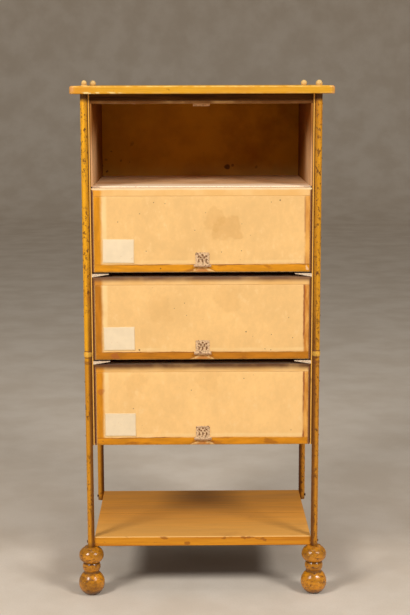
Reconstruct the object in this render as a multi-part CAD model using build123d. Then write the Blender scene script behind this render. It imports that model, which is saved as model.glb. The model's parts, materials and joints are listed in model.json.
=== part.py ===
from build123d import *
import os

# A haberdasher's thread cabinet: a light painted stand on four turned feet, whose
# slim posts clasp a thin open-fronted case. Four pasteboard cartons pull out of the
# case, and each carton has a front flap that hangs from a cloth hinge along its top
# edge, with a stamped pull at its foot. The top flap is stowed inside its carton.
# Millimetres. X is to the right, Y away from the user, Z up. The origin lies on the
# floor, under the middle of the top board.

# ---------------------------------------------------------------- driving sizes
POST_SPAN_X = 410.0  # between post centres, side to side
POST_SPAN_Y = 282.0  # between post centres, front to back
POST_DIAMETER = 12.6
POST_SPLIT_HEIGHT = 457.0  # where the upper post length meets the collar
COLLAR_DIAMETER = 14.7
COLLAR_HEIGHT = 12.0
COLLAR_RING_DIAMETER = 13.6  # the fainter bead below the collar
COLLAR_RING_DROP = 9.0
COLLAR_RING_HALF_HEIGHT = 1.0
TENON_DIAMETER = 7.0
TENON_LENGTH = 14.0
TENON_PLAY = 0.1  # all round a tenon or dowel in its hole

FOOT_HEIGHT = 90.0
FOOT_PAD_DIAMETER = 22.0
FOOT_BALL_DIAMETER = 47.6
FOOT_BALL_TOP = 41.5
FOOT_NECK_DIAMETER = 28.0
FOOT_RING_DIAMETER = 33.0
FOOT_RING_BOTTOM = 45.0
FOOT_RING_TOP = 61.0
FOOT_BUN_DIAMETER = 45.4
FOOT_HEAD_DIAMETER = 25.0
FOOT_HEAD_HEIGHT = 1.5
REAR_FOOT_INSET_X = 33.0  # the rear feet stand inwards of the rear posts
REAR_FOOT_INSET_Y = 16.0
REAR_FOOT_DOWEL = 12.0  # its length in the shelf

TOP_OVERHANG_LEFT = 23.5  # from a post's centre to the board's end
TOP_OVERHANG_RIGHT = 26.4
TOP_OVERHANG_FRONT = 22.0  # from a post's centre to the board's front or rear edge
TOP_THICKNESS = 14.0
TOP_ABOVE_CARTONS = 11.8  # the gap over the uppermost carton
TOP_CORNER_RADIUS = 10.0
TOP_UPPER_ROUND = 3.5
TOP_LOWER_ROUND = 2.0
FINIAL_DIAMETER = 11.8
FINIAL_RISE = 9.6
FINIAL_DOWEL_DIAMETER = 3.0
FINIAL_DOWEL_IN_POST = 9.0
FINIAL_STEP_HEIGHT = 1.6
FINIAL_STEPPED_DIAMETER = 9.4  # the smaller button above the step
FINIAL_OFF_POST = {"front_left": 1.2, "front_right": 0.0, "rear_left": -3.8, "rear_right": -3.0}

SHELF_THICKNESS = 18.0
SHELF_JOINT_Y = -4.0  # where the shelf's two boards meet
SHELF_BOARD_GAP = 0.4
SHELF_EDGE_ROUND = 1.5
SHELF_SCREW_DIAMETER = 3.0
SHELF_SCREW_LENGTH = 26.0
SHELF_SCREW_HEAD = 5.0
SHELF_SCREW_HEAD_HEIGHT = 1.7
SHELF_SCREW_HEAD_ROUND = 1.2
SHELF_SCREW_OFFSET = 3.0  # from the post's centre line, towards the shelf's middle
SHELF_POST_PLAY = 0.1

CASE_PANEL = 3.0
CASE_BACK_PANEL = 2.0  # thickness of the back and of the floor
CASE_BOTTOM_SETBACK = 28.0
CASE_POST_PLAY = 0.1  # between the case sides and the posts with their collars
RAIL_DEPTH = 12.0
RAIL_SETBACK = 3.0  # behind the case's front
PIN_DIAMETER = 1.2
PIN_HEAD = 2.4
PIN_HEAD_HEIGHT = 0.6
PIN_BELOW_TOP = 17.5  # the uppermost pins, below the top board
PIN_LIFTS = ((19.8, 119.8), (81.5,), (63.2,), (51.1,))  # above each carton's foot, lowest first

CARTON_COUNT = 4
CARTON_HEIGHT = 151.8
CARTON_PROUD = 1.9  # the cartons' front edges, before the posts' centres
CARTON_BOARD = 2.5
CARTON_TOP = 1.6
CARTON_FLOOR = 2.2
CARTON_FLOOR_SETBACK = 15.0
CARTON_BACK_SLACK = 2.0
CARTON_SIDE_PLAY = 1.1
LOWEST_CARTON_BOTTOM = 280.2
RUN_CLEARANCE = 0.3  # above and below whatever slides or swings
RUNNER_HEIGHT = 5.9
RUNNER_TOE = 0.8
RUNNER_WIDTH = 30.0
LINING = 0.3

FLAP_BOARD = 2.2
FLAP_SIDE_PLAY = 0.4
FACING = 0.3
CLOTH = 0.3
CLOTH_ON_TOP = 25.0
CLOTH_ON_FACE = 14.0  # from the carton's top down to the cloth's lower edge
STOWED_ANGLE = 89.0  # how far the top flap is swung in at rest

PULL_CENTRE_X = 1.0
PULL_WIDTH = 25.0
PULL_HEIGHT = 25.5
PULL_ABOVE_FLAP_FOOT = 9.6
PULL_SHEET = 0.8
PULL_LIP_WIDTH = 31.0
PULL_LIP_RADIUS = 4.8
PULL_CORNER = 3.0
PULL_ROUND_HOLE = 3.4
PULL_HOLE_COLUMNS_AND_LIFTS = ((0, 5.8), (-1, 3.5), (1, 3.5), (-0.5, 1.5), (0.5, 1.5))
PULL_SLOT_WIDTH = 2.2
PULL_SLOT_HEIGHT = 6.0
PULL_SLOT_DROP = 4.5  # from the plate's middle down to the slots' middle
RIVET_SHANK = 1.6
RIVET_HEAD = 3.2
RIVET_HEAD_HEIGHT = 0.7
RIVET_HEAD_ROUND = 0.4
RIVET_INSET = 2.7

# ------------------------------------------------------------------ worked out
POST_X = POST_SPAN_X / 2
POST_Y = POST_SPAN_Y / 2
POST_R = POST_DIAMETER / 2
SHELF_HALF = POST_X - POST_R - SHELF_POST_PLAY
TOP_LEFT = -POST_X - TOP_OVERHANG_LEFT
TOP_RIGHT = POST_X + TOP_OVERHANG_RIGHT
TOP_HALF_DEPTH = POST_Y + TOP_OVERHANG_FRONT
SHELF_TOP = FOOT_HEIGHT + SHELF_THICKNESS
CASE_OUTSIDE = POST_X - POST_R - CASE_POST_PLAY
CASE_INSIDE = CASE_OUTSIDE - CASE_PANEL
CASE_FLOOR_TOP = LOWEST_CARTON_BOTTOM - RUN_CLEARANCE
CASE_BOTTOM = CASE_FLOOR_TOP - CASE_BACK_PANEL
CARTON_FRONT = POST_Y + CARTON_PROUD
CASE_FRONT = -(CARTON_FRONT + FACING)
CARTON_HALF = CASE_INSIDE - CARTON_SIDE_PLAY
CARTON_BACK = POST_Y - CARTON_BACK_SLACK
CASE_BACK_FRONT = CARTON_BACK + CARTON_BACK_SLACK
FLAP_HALF = CARTON_HALF - CARTON_BOARD - LINING - FLAP_SIDE_PLAY
CARTON_TOP_UNDER = CLOTH + CARTON_TOP  # below the carton's top
FLAP_FOOT = CARTON_HEIGHT - CARTON_FLOOR - LINING - RUN_CLEARANCE  # below the top
FLAP_FACE = FACING + FLAP_BOARD / 2  # from the pivot to the faced front
PIVOT_DROP = CARTON_TOP_UNDER + RUN_CLEARANCE + FLAP_FACE
PIVOT_Y = -CARTON_FRONT + FLAP_BOARD / 2
CORNERS = {
    "front_left": (-POST_X, -POST_Y),
    "front_right": (POST_X, -POST_Y),
    "rear_left": (-POST_X, POST_Y),
    "rear_right": (POST_X, POST_Y),
}
REAR_FOOT_X = POST_X - REAR_FOOT_INSET_X
REAR_FOOT_Y = POST_Y - REAR_FOOT_INSET_Y


def carton_tops():
    """Heights of the cartons' tops, from the uppermost down. The two lower gaps hold
    runners; the uppermost carton rests on the one below it."""
    step = CARTON_HEIGHT + RUNNER_HEIGHT + 2 * RUN_CLEARANCE
    lowest = LOWEST_CARTON_BOTTOM + CARTON_HEIGHT
    tops = [lowest + i * step for i in range(CARTON_COUNT - 1)]
    tops.append(tops[-1] + RUN_CLEARANCE + CARTON_HEIGHT)
    return tops[::-1]


CARTON_TOPS = carton_tops()
TOP_UNDERSIDE = CARTON_TOPS[0] + TOP_ABOVE_CARTONS
TOP_FACE = TOP_UNDERSIDE + TOP_THICKNESS


def block(x0, x1, y0, y1, z0, z1):
    """A board given by its two corners."""
    middle = Pos((x0 + x1) / 2, (y0 + y1) / 2, (z0 + z1) / 2)
    return middle * Box(x1 - x0, y1 - y0, z1 - z0)


def rod(x, y, z0, z1, radius):
    """An upright round bar."""
    return Pos(x, y, (z0 + z1) / 2) * Cylinder(radius, z1 - z0)


def bar_x(x0, x1, y, z, radius):
    """A round bar lying along X."""
    return Pos((x0 + x1) / 2, y, z) * Rot(Y=90) * Cylinder(radius, abs(x1 - x0))


def bar_y(x, y0, y1, z, radius):
    """A round bar lying along Y."""
    return Pos(x, (y0 + y1) / 2, z) * Rot(X=90) * Cylinder(radius, abs(y1 - y0))


def turned(edges):
    """A solid of revolution about Z from a closed outline in the XZ plane."""
    return revolve(make_face(edges), Axis.Z, 360)


def save(node, *solids):
    """Writes one node, of one or more separate solids."""
    shape = solids[0] if len(solids) == 1 else Compound(children=list(solids))
    export_step(shape, f"parts/{node}.step")


# ------------------------------------------------------------------- the stand
def foot():
    """A ball, a ring and a flattened bun, turned in one."""
    pad = FOOT_PAD_DIAMETER / 2
    ball = FOOT_BALL_DIAMETER / 2
    neck = FOOT_NECK_DIAMETER / 2
    ring = FOOT_RING_DIAMETER / 2
    bun = FOOT_BUN_DIAMETER / 2
    head = FOOT_HEAD_DIAMETER / 2
    head_z = FOOT_HEIGHT - FOOT_HEAD_HEIGHT
    ring_middle = (FOOT_RING_BOTTOM + FOOT_RING_TOP) / 2
    bun_middle = (FOOT_RING_TOP + head_z) / 2
    outline = Curve() + [
        Line((0, 0, 0), (pad, 0, 0)),
        ThreePointArc((pad, 0, 0), (ball, 0, FOOT_BALL_TOP / 2), (neck, 0, FOOT_BALL_TOP)),
        Line((neck, 0, FOOT_BALL_TOP), (neck, 0, FOOT_RING_BOTTOM)),
        ThreePointArc((neck, 0, FOOT_RING_BOTTOM), (ring, 0, ring_middle), (neck, 0, FOOT_RING_TOP)),
        ThreePointArc((neck, 0, FOOT_RING_TOP), (bun, 0, bun_middle), (head, 0, head_z)),
        Polyline((head, 0, head_z), (head, 0, FOOT_HEIGHT), (0, 0, FOOT_HEIGHT), (0, 0, 0)),
    ]
    return turned(outline)


def front_foot():
    """A foot with a socket for the tenon of the post that stands on it."""
    depth = TENON_LENGTH + TENON_PLAY
    socket = TENON_DIAMETER / 2 + TENON_PLAY
    return foot() - rod(0, 0, FOOT_HEIGHT - depth, FOOT_HEIGHT, socket)


def rear_foot():
    """A foot with a dowel that goes up into the shelf."""
    return foot() + rod(0, 0, FOOT_HEIGHT, FOOT_HEIGHT + REAR_FOOT_DOWEL, TENON_DIAMETER / 2)


def lower_post(on_foot):
    """The lower length, with a collar that has a socket on top. One that stands on a
    foot has a tenon for it; the others end level with the shelf's underside."""
    r = POST_R
    collar_foot = POST_SPLIT_HEIGHT - COLLAR_HEIGHT
    ring_z = collar_foot - COLLAR_RING_DROP
    ring_r = COLLAR_RING_DIAMETER / 2
    half_ring = COLLAR_RING_HALF_HEIGHT
    outline = Curve() + [
        Polyline((0, 0, FOOT_HEIGHT), (r, 0, FOOT_HEIGHT), (r, 0, ring_z - half_ring)),
        ThreePointArc((r, 0, ring_z - half_ring), (ring_r, 0, ring_z), (r, 0, ring_z + half_ring)),
        Line((r, 0, ring_z + half_ring), (r, 0, collar_foot)),
        ThreePointArc(
            (r, 0, collar_foot),
            (COLLAR_DIAMETER / 2, 0, collar_foot + COLLAR_HEIGHT / 2),
            (r, 0, POST_SPLIT_HEIGHT),
        ),
        Polyline((r, 0, POST_SPLIT_HEIGHT), (0, 0, POST_SPLIT_HEIGHT), (0, 0, FOOT_HEIGHT)),
    ]
    socket_r = TENON_DIAMETER / 2 + TENON_PLAY
    socket_z = POST_SPLIT_HEIGHT - TENON_LENGTH - TENON_PLAY
    post = turned(outline) - rod(0, 0, socket_z, POST_SPLIT_HEIGHT, socket_r)
    if on_foot:
        post += rod(0, 0, FOOT_HEIGHT - TENON_LENGTH, FOOT_HEIGHT, TENON_DIAMETER / 2)
    return post


def upper_post(finial_x):
    """The upper length: a tenon for the collar, and a bore for the finial's dowel."""
    shaft = rod(0, 0, POST_SPLIT_HEIGHT, TOP_UNDERSIDE, POST_R)
    tenon = rod(0, 0, POST_SPLIT_HEIGHT - TENON_LENGTH, POST_SPLIT_HEIGHT, TENON_DIAMETER / 2)
    bore_z = TOP_UNDERSIDE - FINIAL_DOWEL_IN_POST - TENON_PLAY
    bore = rod(finial_x, 0, bore_z, TOP_UNDERSIDE, FINIAL_DOWEL_DIAMETER / 2 + TENON_PLAY)
    return shaft + tenon - bore


def finial(stepped):
    """A button that sits on the top board, on a dowel through it into the post. The
    front left one is turned in steps."""
    width = FINIAL_STEPPED_DIAMETER if stepped else FINIAL_DIAMETER
    crown = TOP_FACE + FINIAL_RISE
    ball = Pos(0, 0, crown - width / 2) * Sphere(width / 2)
    button = ball & rod(0, 0, TOP_FACE, crown, width)
    if stepped:
        button += rod(0, 0, TOP_FACE, TOP_FACE + FINIAL_STEP_HEIGHT, FINIAL_DIAMETER / 2)
    dowel_z = TOP_UNDERSIDE - FINIAL_DOWEL_IN_POST
    return button + rod(0, 0, dowel_z, TOP_FACE, FINIAL_DOWEL_DIAMETER / 2)


def top_board():
    """The overhanging top, with rounded corners and edges, bored for the dowels."""
    y = TOP_HALF_DEPTH
    board = block(TOP_LEFT, TOP_RIGHT, -y, y, TOP_UNDERSIDE, TOP_FACE)
    board = fillet(board.edges().filter_by(Axis.Z), TOP_CORNER_RADIUS)
    board = fillet(board.edges().group_by(Axis.Z)[-1], TOP_UPPER_ROUND)
    board = fillet(board.edges().group_by(Axis.Z)[0], TOP_LOWER_ROUND)
    for corner, (x, y) in CORNERS.items():
        x += FINIAL_OFF_POST[corner]
        board -= rod(x, y, TOP_UNDERSIDE, TOP_FACE, FINIAL_DOWEL_DIAMETER / 2 + TENON_PLAY)
    return board


def screw_places():
    """Where the shelf screws go through the posts: the side, and the place along Y."""
    y = POST_Y - SHELF_SCREW_OFFSET
    return [(side, end * y) for side in (-1, 1) for end in (-1, 1)]


def shelf_screw(side, y):
    """A round-headed screw through a post into the end of the shelf."""
    z = FOOT_HEIGHT + SHELF_THICKNESS / 2
    face = POST_X + POST_R
    point = face - SHELF_SCREW_LENGTH
    shank = bar_x(side * point, side * face, y, z, SHELF_SCREW_DIAMETER / 2)
    crown = face + SHELF_SCREW_HEAD_HEIGHT
    head = bar_x(side * face, side * crown, y, z, SHELF_SCREW_HEAD / 2)
    rims = head.edges().group_by(Axis.X)
    return shank + fillet(rims[-1] if side > 0 else rims[0], SHELF_SCREW_HEAD_ROUND)


def shelf_boards():
    """The two boards of the lower shelf, front and rear, bored for their screws."""
    gap = SHELF_BOARD_GAP / 2
    spans = {"front": (-POST_Y, SHELF_JOINT_Y - gap), "rear": (SHELF_JOINT_Y + gap, POST_Y)}
    boards = {}
    for name, (y0, y1) in spans.items():
        board = block(-SHELF_HALF, SHELF_HALF, y0, y1, FOOT_HEIGHT, SHELF_TOP)
        along = board.edges().filter_by(Axis.X).group_by(Axis.Y)
        outer = along[0] if name == "front" else along[-1]
        board = fillet(outer, SHELF_EDGE_ROUND)
        for side, y in screw_places():
            board -= screw_hole(side, y)
        boards[name] = board
    depth = REAR_FOOT_DOWEL + TENON_PLAY
    for x in (-REAR_FOOT_X, REAR_FOOT_X):
        hole = rod(x, REAR_FOOT_Y, FOOT_HEIGHT, FOOT_HEIGHT + depth, TENON_DIAMETER / 2 + TENON_PLAY)
        boards["rear"] -= hole
    return boards


def screw_hole(side, y):
    """The hole that a shelf screw runs in."""
    z = FOOT_HEIGHT + SHELF_THICKNESS / 2
    outer = POST_X + POST_R + TENON_PLAY
    inner = outer - SHELF_SCREW_LENGTH - 2 * TENON_PLAY
    return bar_x(side * inner, side * outer, y, z, SHELF_SCREW_DIAMETER / 2 + TENON_PLAY)


# -------------------------------------------------------------------- the case
def case_panels():
    """The case that the cartons slide in: two sides, a back, a set-back floor and a rail
    under the top board. The sides' lower front corners end level with the lowest flap."""
    back_rear = CASE_BACK_FRONT + CASE_BACK_PANEL
    floor_front = CASE_FRONT + CASE_BOTTOM_SETBACK
    rail_front = CASE_FRONT + RAIL_SETBACK
    left = block(-CASE_OUTSIDE, -CASE_INSIDE, CASE_FRONT, back_rear, CASE_BOTTOM, TOP_UNDERSIDE)
    left -= block(
        -CASE_OUTSIDE, -CASE_INSIDE, CASE_FRONT, floor_front, CASE_BOTTOM, CARTON_TOPS[-1] - FLAP_FOOT
    )
    left = clear_of_collars(left)
    return {
        "case_side_left": left,
        "case_side_right": mirror(left, Plane.YZ),
        "case_back": block(
            -CASE_INSIDE, CASE_INSIDE, CASE_BACK_FRONT, back_rear, CASE_BOTTOM, TOP_UNDERSIDE
        ),
        "case_bottom": block(
            -CASE_INSIDE, CASE_INSIDE, floor_front, CASE_BACK_FRONT, CASE_BOTTOM, CASE_FLOOR_TOP
        ),
        "top_rail": block(
            -CASE_INSIDE, CASE_INSIDE, rail_front, rail_front + RAIL_DEPTH,
            CARTON_TOPS[0] + RUN_CLEARANCE, TOP_UNDERSIDE,
        ),
    }


def clear_of_collars(panel):
    """The panel with shallow hollows for the posts' collars and the beads below them."""
    collar_foot = POST_SPLIT_HEIGHT - COLLAR_HEIGHT
    bead = collar_foot - COLLAR_RING_DROP
    spans = (
        (COLLAR_DIAMETER, collar_foot, POST_SPLIT_HEIGHT),
        (COLLAR_RING_DIAMETER, bead - COLLAR_RING_HALF_HEIGHT, bead + COLLAR_RING_HALF_HEIGHT),
    )
    for x, y in CORNERS.values():
        for width, low, high in spans:
            reach = width / 2 + CASE_POST_PLAY
            panel -= rod(x, y, low - CASE_POST_PLAY, high + CASE_POST_PLAY, reach)
    return panel


def runner(side, carton_top):
    """A tapered strip on the case side, flat on top, that carries the carton above."""
    top = carton_top - CARTON_HEIGHT - RUN_CLEARANCE
    wall = side * CASE_INSIDE
    toe = side * (CASE_INSIDE - RUNNER_WIDTH)
    section = Polyline(
        (wall, CASE_FRONT, top), (toe, CASE_FRONT, top), (toe, CASE_FRONT, top - RUNNER_TOE),
        (wall, CASE_FRONT, top - RUNNER_HEIGHT), close=True,
    )
    return extrude(make_face(section), CASE_BACK_FRONT - CASE_FRONT, dir=(0, 1, 0))


def pin_heights():
    """Heights of the case pins, from the lowest: beside each carton, and under the top."""
    feet = [top - CARTON_HEIGHT for top in reversed(CARTON_TOPS)]
    beside = [foot + lift for foot, lifts in zip(feet, PIN_LIFTS) for lift in lifts]
    return [*beside, TOP_UNDERSIDE - PIN_BELOW_TOP]


def pin_places():
    """The case pins: a side, a place along Y, and a height."""
    return [(side, end * POST_Y, z) for side in (-1, 1) for end in (-1, 1) for z in pin_heights()]


def case_pin(side, y, z):
    """A pin driven through a post into the case side."""
    outer = POST_X + POST_R
    shank = bar_x(side * CASE_INSIDE, side * outer, y, z, PIN_DIAMETER / 2)
    return shank + bar_x(side * outer, side * (outer + PIN_HEAD_HEIGHT), y, z, PIN_HEAD / 2)


def bored_for_pins(shape):
    """The shape with its pin holes cut."""
    for side, y, z in pin_places():
        outer = POST_X + POST_DIAMETER
        shape -= bar_x(side * CASE_INSIDE, side * outer, y, z, PIN_DIAMETER / 2)
    return shape


def bored_for_screws(shape):
    """The shape with its shelf screw holes cut."""
    for side, y in screw_places():
        shape -= screw_hole(side, y)
    return shape


# ----------------------------------------------------------------- the cartons
def carton_shell(top):
    """Five boards: floor, two sides, back and top. The front is left to the flap, and
    the sides' lower front corners end level with its foot."""
    bottom = top - CARTON_HEIGHT
    inside = CARTON_HALF - CARTON_BOARD
    back_face = CARTON_BACK - CARTON_BOARD
    under_top = top - CARTON_TOP_UNDER
    floor_top = bottom + CARTON_FLOOR
    floor_front = -CARTON_FRONT + CARTON_FLOOR_SETBACK
    side = block(-CARTON_HALF, -inside, -CARTON_FRONT, CARTON_BACK, bottom, under_top)
    side -= block(-CARTON_HALF, -inside, -CARTON_FRONT, floor_front, bottom, top - FLAP_FOOT)
    return [
        block(-inside, inside, floor_front, CARTON_BACK, bottom, floor_top),
        side,
        mirror(side, Plane.YZ),
        block(-inside, inside, back_face, CARTON_BACK, floor_top, under_top),
        block(-CARTON_HALF, CARTON_HALF, -CARTON_FRONT, CARTON_BACK, under_top, top - CLOTH),
    ]


def carton_lining(top):
    """Pale paper pasted on the floor, the back and the two sides."""
    inside = CARTON_HALF - CARTON_BOARD
    back_face = CARTON_BACK - CARTON_BOARD
    floor_top = top - CARTON_HEIGHT + CARTON_FLOOR
    under_top = top - CARTON_TOP_UNDER
    floor_front = -CARTON_FRONT + CARTON_FLOOR_SETBACK
    paper_top = floor_top + LINING
    return [
        block(-inside, inside, floor_front, back_face, floor_top, paper_top),
        block(-inside, -inside + LINING, -CARTON_FRONT, back_face, paper_top, under_top),
        block(inside - LINING, inside, -CARTON_FRONT, back_face, paper_top, under_top),
        block(-inside + LINING, inside - LINING, back_face - LINING, back_face, paper_top, under_top),
    ]


def carton_cloth(top):
    """The hinge cloth's fixed leaf: on the carton's top and over its front edge."""
    leaf = block(-CARTON_HALF, CARTON_HALF, -CARTON_FRONT, -CARTON_FRONT + CLOTH_ON_TOP, top - CLOTH, top)
    lap_foot = top - CARTON_TOP_UNDER
    return leaf + block(-CARTON_HALF, CARTON_HALF, -CARTON_FRONT - CLOTH, -CARTON_FRONT, lap_foot, top)


def rivet_places(top):
    """The two rivets of a pull, in its upper corners."""
    x = PULL_WIDTH / 2 - RIVET_INSET
    z = top - FLAP_FOOT + PULL_ABOVE_FLAP_FOOT + PULL_HEIGHT - RIVET_INSET
    return [(PULL_CENTRE_X - x, z), (PULL_CENTRE_X + x, z)]


def bored_for_rivets(shape, top):
    """The shape with the rivet holes cut."""
    for x, z in rivet_places(top):
        shape -= bar_y(x, -CARTON_FRONT - FLAP_BOARD, -CARTON_FRONT + FLAP_BOARD, z, RIVET_SHANK / 2)
    return shape


def flap_board(top):
    """The flap's board. Its upper edge is half round about the hinge line."""
    front = -CARTON_FRONT
    pivot_z = top - PIVOT_DROP
    board = block(-FLAP_HALF, FLAP_HALF, front, front + FLAP_BOARD, top - FLAP_FOOT, pivot_z)
    board += bar_x(-FLAP_HALF, FLAP_HALF, PIVOT_Y, pivot_z, FLAP_BOARD / 2)
    return bored_for_rivets(board, top)


def flap_facing(top):
    """Cream paper on the flap's face, up to the hinge cloth."""
    front = -CARTON_FRONT
    sheet = block(-FLAP_HALF, FLAP_HALF, front - FACING, front, top - FLAP_FOOT, top - CLOTH_ON_FACE)
    return bored_for_rivets(sheet, top)


def flap_cloth(top):
    """The hinge cloth's moving leaf, pasted on the upper edge of the flap's face."""
    front = -CARTON_FRONT
    return block(-FLAP_HALF, FLAP_HALF, front - CLOTH, front, top - CLOTH_ON_FACE, top - PIVOT_DROP)


def pull(top):
    """A stamped and pierced plate whose foot is curled out as a finger lip."""
    face = -CARTON_FRONT - FACING
    foot = top - FLAP_FOOT + PULL_ABOVE_FLAP_FOOT
    plate_foot = foot + PULL_LIP_RADIUS
    crown = foot + PULL_HEIGHT
    middle = (plate_foot + crown) / 2
    plate = block(
        PULL_CENTRE_X - PULL_WIDTH / 2, PULL_CENTRE_X + PULL_WIDTH / 2,
        face - PULL_SHEET, face, plate_foot, crown,
    )
    plate = fillet(plate.edges().filter_by(Axis.Y).group_by(Axis.Z)[-1], PULL_CORNER)
    reach = (PULL_WIDTH - 2 * RIVET_INSET) / 3
    for column in (-1, 0, 1):
        x = PULL_CENTRE_X + column * reach
        slot = Pos(x, face, middle - PULL_SLOT_DROP)
        plate -= slot * Box(PULL_SLOT_WIDTH, 4 * PULL_SHEET, PULL_SLOT_HEIGHT)
    for column, lift in PULL_HOLE_COLUMNS_AND_LIFTS:
        x = PULL_CENTRE_X + column * reach
        z = middle + lift
        plate -= bar_y(x, face - 2 * PULL_SHEET, face + PULL_SHEET, z, PULL_ROUND_HOLE / 2)
    for x, z in rivet_places(top):
        plate -= bar_y(x, face - 2 * PULL_SHEET, face + PULL_SHEET, z, RIVET_SHANK / 2)
    return plate + pull_lip(face, plate_foot)


def pull_lip(face, plate_foot):
    """The curled foot of a pull: a quarter of a thin tube along X."""
    outer = PULL_LIP_RADIUS
    inner = outer - PULL_SHEET
    y = face - outer
    half = PULL_LIP_WIDTH / 2
    x0, x1 = PULL_CENTRE_X - half, PULL_CENTRE_X + half
    tube = bar_x(x0, x1, y, plate_foot, outer) - bar_x(x0, x1, y, plate_foot, inner)
    return tube & block(x0, x1, y, face, plate_foot - outer, plate_foot)


def rivet(x, z):
    """A rivet through the pull and the flap, flush inside."""
    face = -CARTON_FRONT - FACING - PULL_SHEET
    head = bar_y(x, face - RIVET_HEAD_HEIGHT, face, z, RIVET_HEAD / 2)
    head = fillet(head.edges().group_by(Axis.Y)[0], RIVET_HEAD_ROUND)
    return head + bar_y(x, face, -CARTON_FRONT + FLAP_BOARD, z, RIVET_SHANK / 2)


def flap_pieces(top):
    """The flap's pieces, as they hang when it is shut."""
    return {
        "board": [flap_board(top)],
        "facing": [flap_facing(top)],
        "hinge_cloth": [flap_cloth(top)],
        "pull": [pull(top)],
        "rivets": [rivet(x, z) for x, z in rivet_places(top)],
    }


# ----------------------------------------------------------------------- build
os.makedirs("parts", exist_ok=True)

for corner, (cx, cy) in CORNERS.items():
    place = Pos(cx, cy, 0)
    in_front = cy < 0
    finial_x = FINIAL_OFF_POST[corner]
    if in_front:
        save(f"foot_{corner}", place * front_foot())
    else:
        rear_place = Pos(REAR_FOOT_X if cx > 0 else -REAR_FOOT_X, REAR_FOOT_Y, 0)
        save(f"foot_{corner}", rear_place * rear_foot())
    save(f"post_lower_{corner}", bored_for_pins(bored_for_screws(place * lower_post(in_front))))
    save(f"post_upper_{corner}", bored_for_pins(place * upper_post(finial_x)))
    save(f"finial_{corner}", place * Pos(finial_x, 0, 0) * finial(corner == "front_left"))

save("top_board", top_board())
for name, board in shelf_boards().items():
    save(f"shelf_board_{name}", board)
save("shelf_screws", *[shelf_screw(side, y) for side, y in screw_places()])

for name, panel in case_panels().items():
    bored = bored_for_pins(panel) if "side" in name else panel
    save(name, bored)
save("case_pins", *[case_pin(*place) for place in pin_places()])
for name, side in (("left", -1), ("right", 1)):
    save(f"runners_{name}", *[runner(side, top) for top in CARTON_TOPS[1:-1]])

for number, top in enumerate(CARTON_TOPS, start=1):
    save(f"carton_{number}_shell", *carton_shell(top))
    save(f"carton_{number}_lining", *carton_lining(top))
    save(f"carton_{number}_hinge_cloth", carton_cloth(top))
    hinge = Axis((0, PIVOT_Y, top - PIVOT_DROP), (1, 0, 0))
    swing = STOWED_ANGLE if number == 1 else 0.0
    for piece, solids in flap_pieces(top).items():
        save(f"flap_{number}_{piece}", *[solid.rotate(hinge, swing) for solid in solids])
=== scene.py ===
"""A haberdasher's thread cabinet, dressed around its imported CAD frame.

Lengths are metres in the CAD model's own frame: X to the right, Y away from the user,
Z up, with the floor at zero. The CAD solids keep their shapes and get their finishes
here. The face papers, the labels and the hinge cloths are modelled here over them."""
import json
import math

import bmesh
import bpy
from bpy.props import FloatProperty, FloatVectorProperty, PointerProperty
from mathutils import Matrix, Vector, noise


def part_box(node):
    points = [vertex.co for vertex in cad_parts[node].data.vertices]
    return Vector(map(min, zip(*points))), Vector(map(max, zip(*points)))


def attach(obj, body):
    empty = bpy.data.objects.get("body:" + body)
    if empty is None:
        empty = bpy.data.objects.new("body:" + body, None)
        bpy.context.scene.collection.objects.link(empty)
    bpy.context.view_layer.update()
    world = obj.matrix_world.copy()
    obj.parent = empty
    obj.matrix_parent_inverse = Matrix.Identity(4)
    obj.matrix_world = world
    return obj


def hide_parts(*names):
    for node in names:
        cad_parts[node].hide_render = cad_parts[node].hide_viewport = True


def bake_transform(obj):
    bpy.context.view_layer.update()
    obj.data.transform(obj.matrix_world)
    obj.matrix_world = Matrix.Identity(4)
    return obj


bl_info = {
    "name": "Thread cabinet",
    "version": (1, 0, 0),
    "blender": (4, 5, 0),
    "location": "3D View > Sidebar > Cabinet",
    "description": "Dresses the packed model of a haberdasher's thread cabinet",
    "category": "Object",
}

MM = 0.001
FLAPS = (1, 2, 3, 4)
STOWED = (1,)  # the flaps that rest swung in, under their carton's top
CORNERS = ("front_left", "front_right", "rear_left", "rear_right")

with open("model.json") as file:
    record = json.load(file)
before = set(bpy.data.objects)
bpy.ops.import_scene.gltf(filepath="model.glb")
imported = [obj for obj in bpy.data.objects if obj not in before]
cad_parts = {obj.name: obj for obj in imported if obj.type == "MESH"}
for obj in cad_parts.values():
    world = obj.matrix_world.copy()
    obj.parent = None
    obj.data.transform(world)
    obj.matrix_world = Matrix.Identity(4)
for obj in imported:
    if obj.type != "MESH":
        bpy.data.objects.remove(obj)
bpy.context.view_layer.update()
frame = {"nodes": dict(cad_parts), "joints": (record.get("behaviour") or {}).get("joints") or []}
JOINTS = {j["name"]: j for j in frame["joints"]}

SHUT_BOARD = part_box("flap_2_board")
SHUT_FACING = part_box("flap_2_facing")
FLAP_WIDTH = SHUT_BOARD[1].x - SHUT_BOARD[0].x
FACE_HEIGHT = SHUT_FACING[1].z - SHUT_FACING[0].z
CARTON_TOPS = {n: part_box(f"carton_{n}_hinge_cloth")[1].z for n in FLAPS}
CLOTH_ON_FACE = CARTON_TOPS[2] - SHUT_FACING[1].z  # down to a shut flap's cloth hem
FLAP_FEET = {n: CARTON_TOPS[n] - (CARTON_TOPS[2] - SHUT_BOARD[0].z) for n in FLAPS}
TOP_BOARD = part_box("top_board")
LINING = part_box("carton_1_lining")
FLOOR_FRONT = LINING[0].y + 15 * MM  # the carton floors' front edge
SHELF_FRONT, SHELF_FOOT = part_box("shelf_board_front")[0].yz
SHELF_JOINT, SHELF_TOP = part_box("shelf_board_front")[1].yz
POST_X = sum(corner.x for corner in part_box("post_upper_front_right")) / 2
COLLAR_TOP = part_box("post_lower_front_left")[1].z
COLLAR_GROOVES = (0.0, 12 * MM, 19.5 * MM, 22.6 * MM)  # below the collar's top
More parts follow.
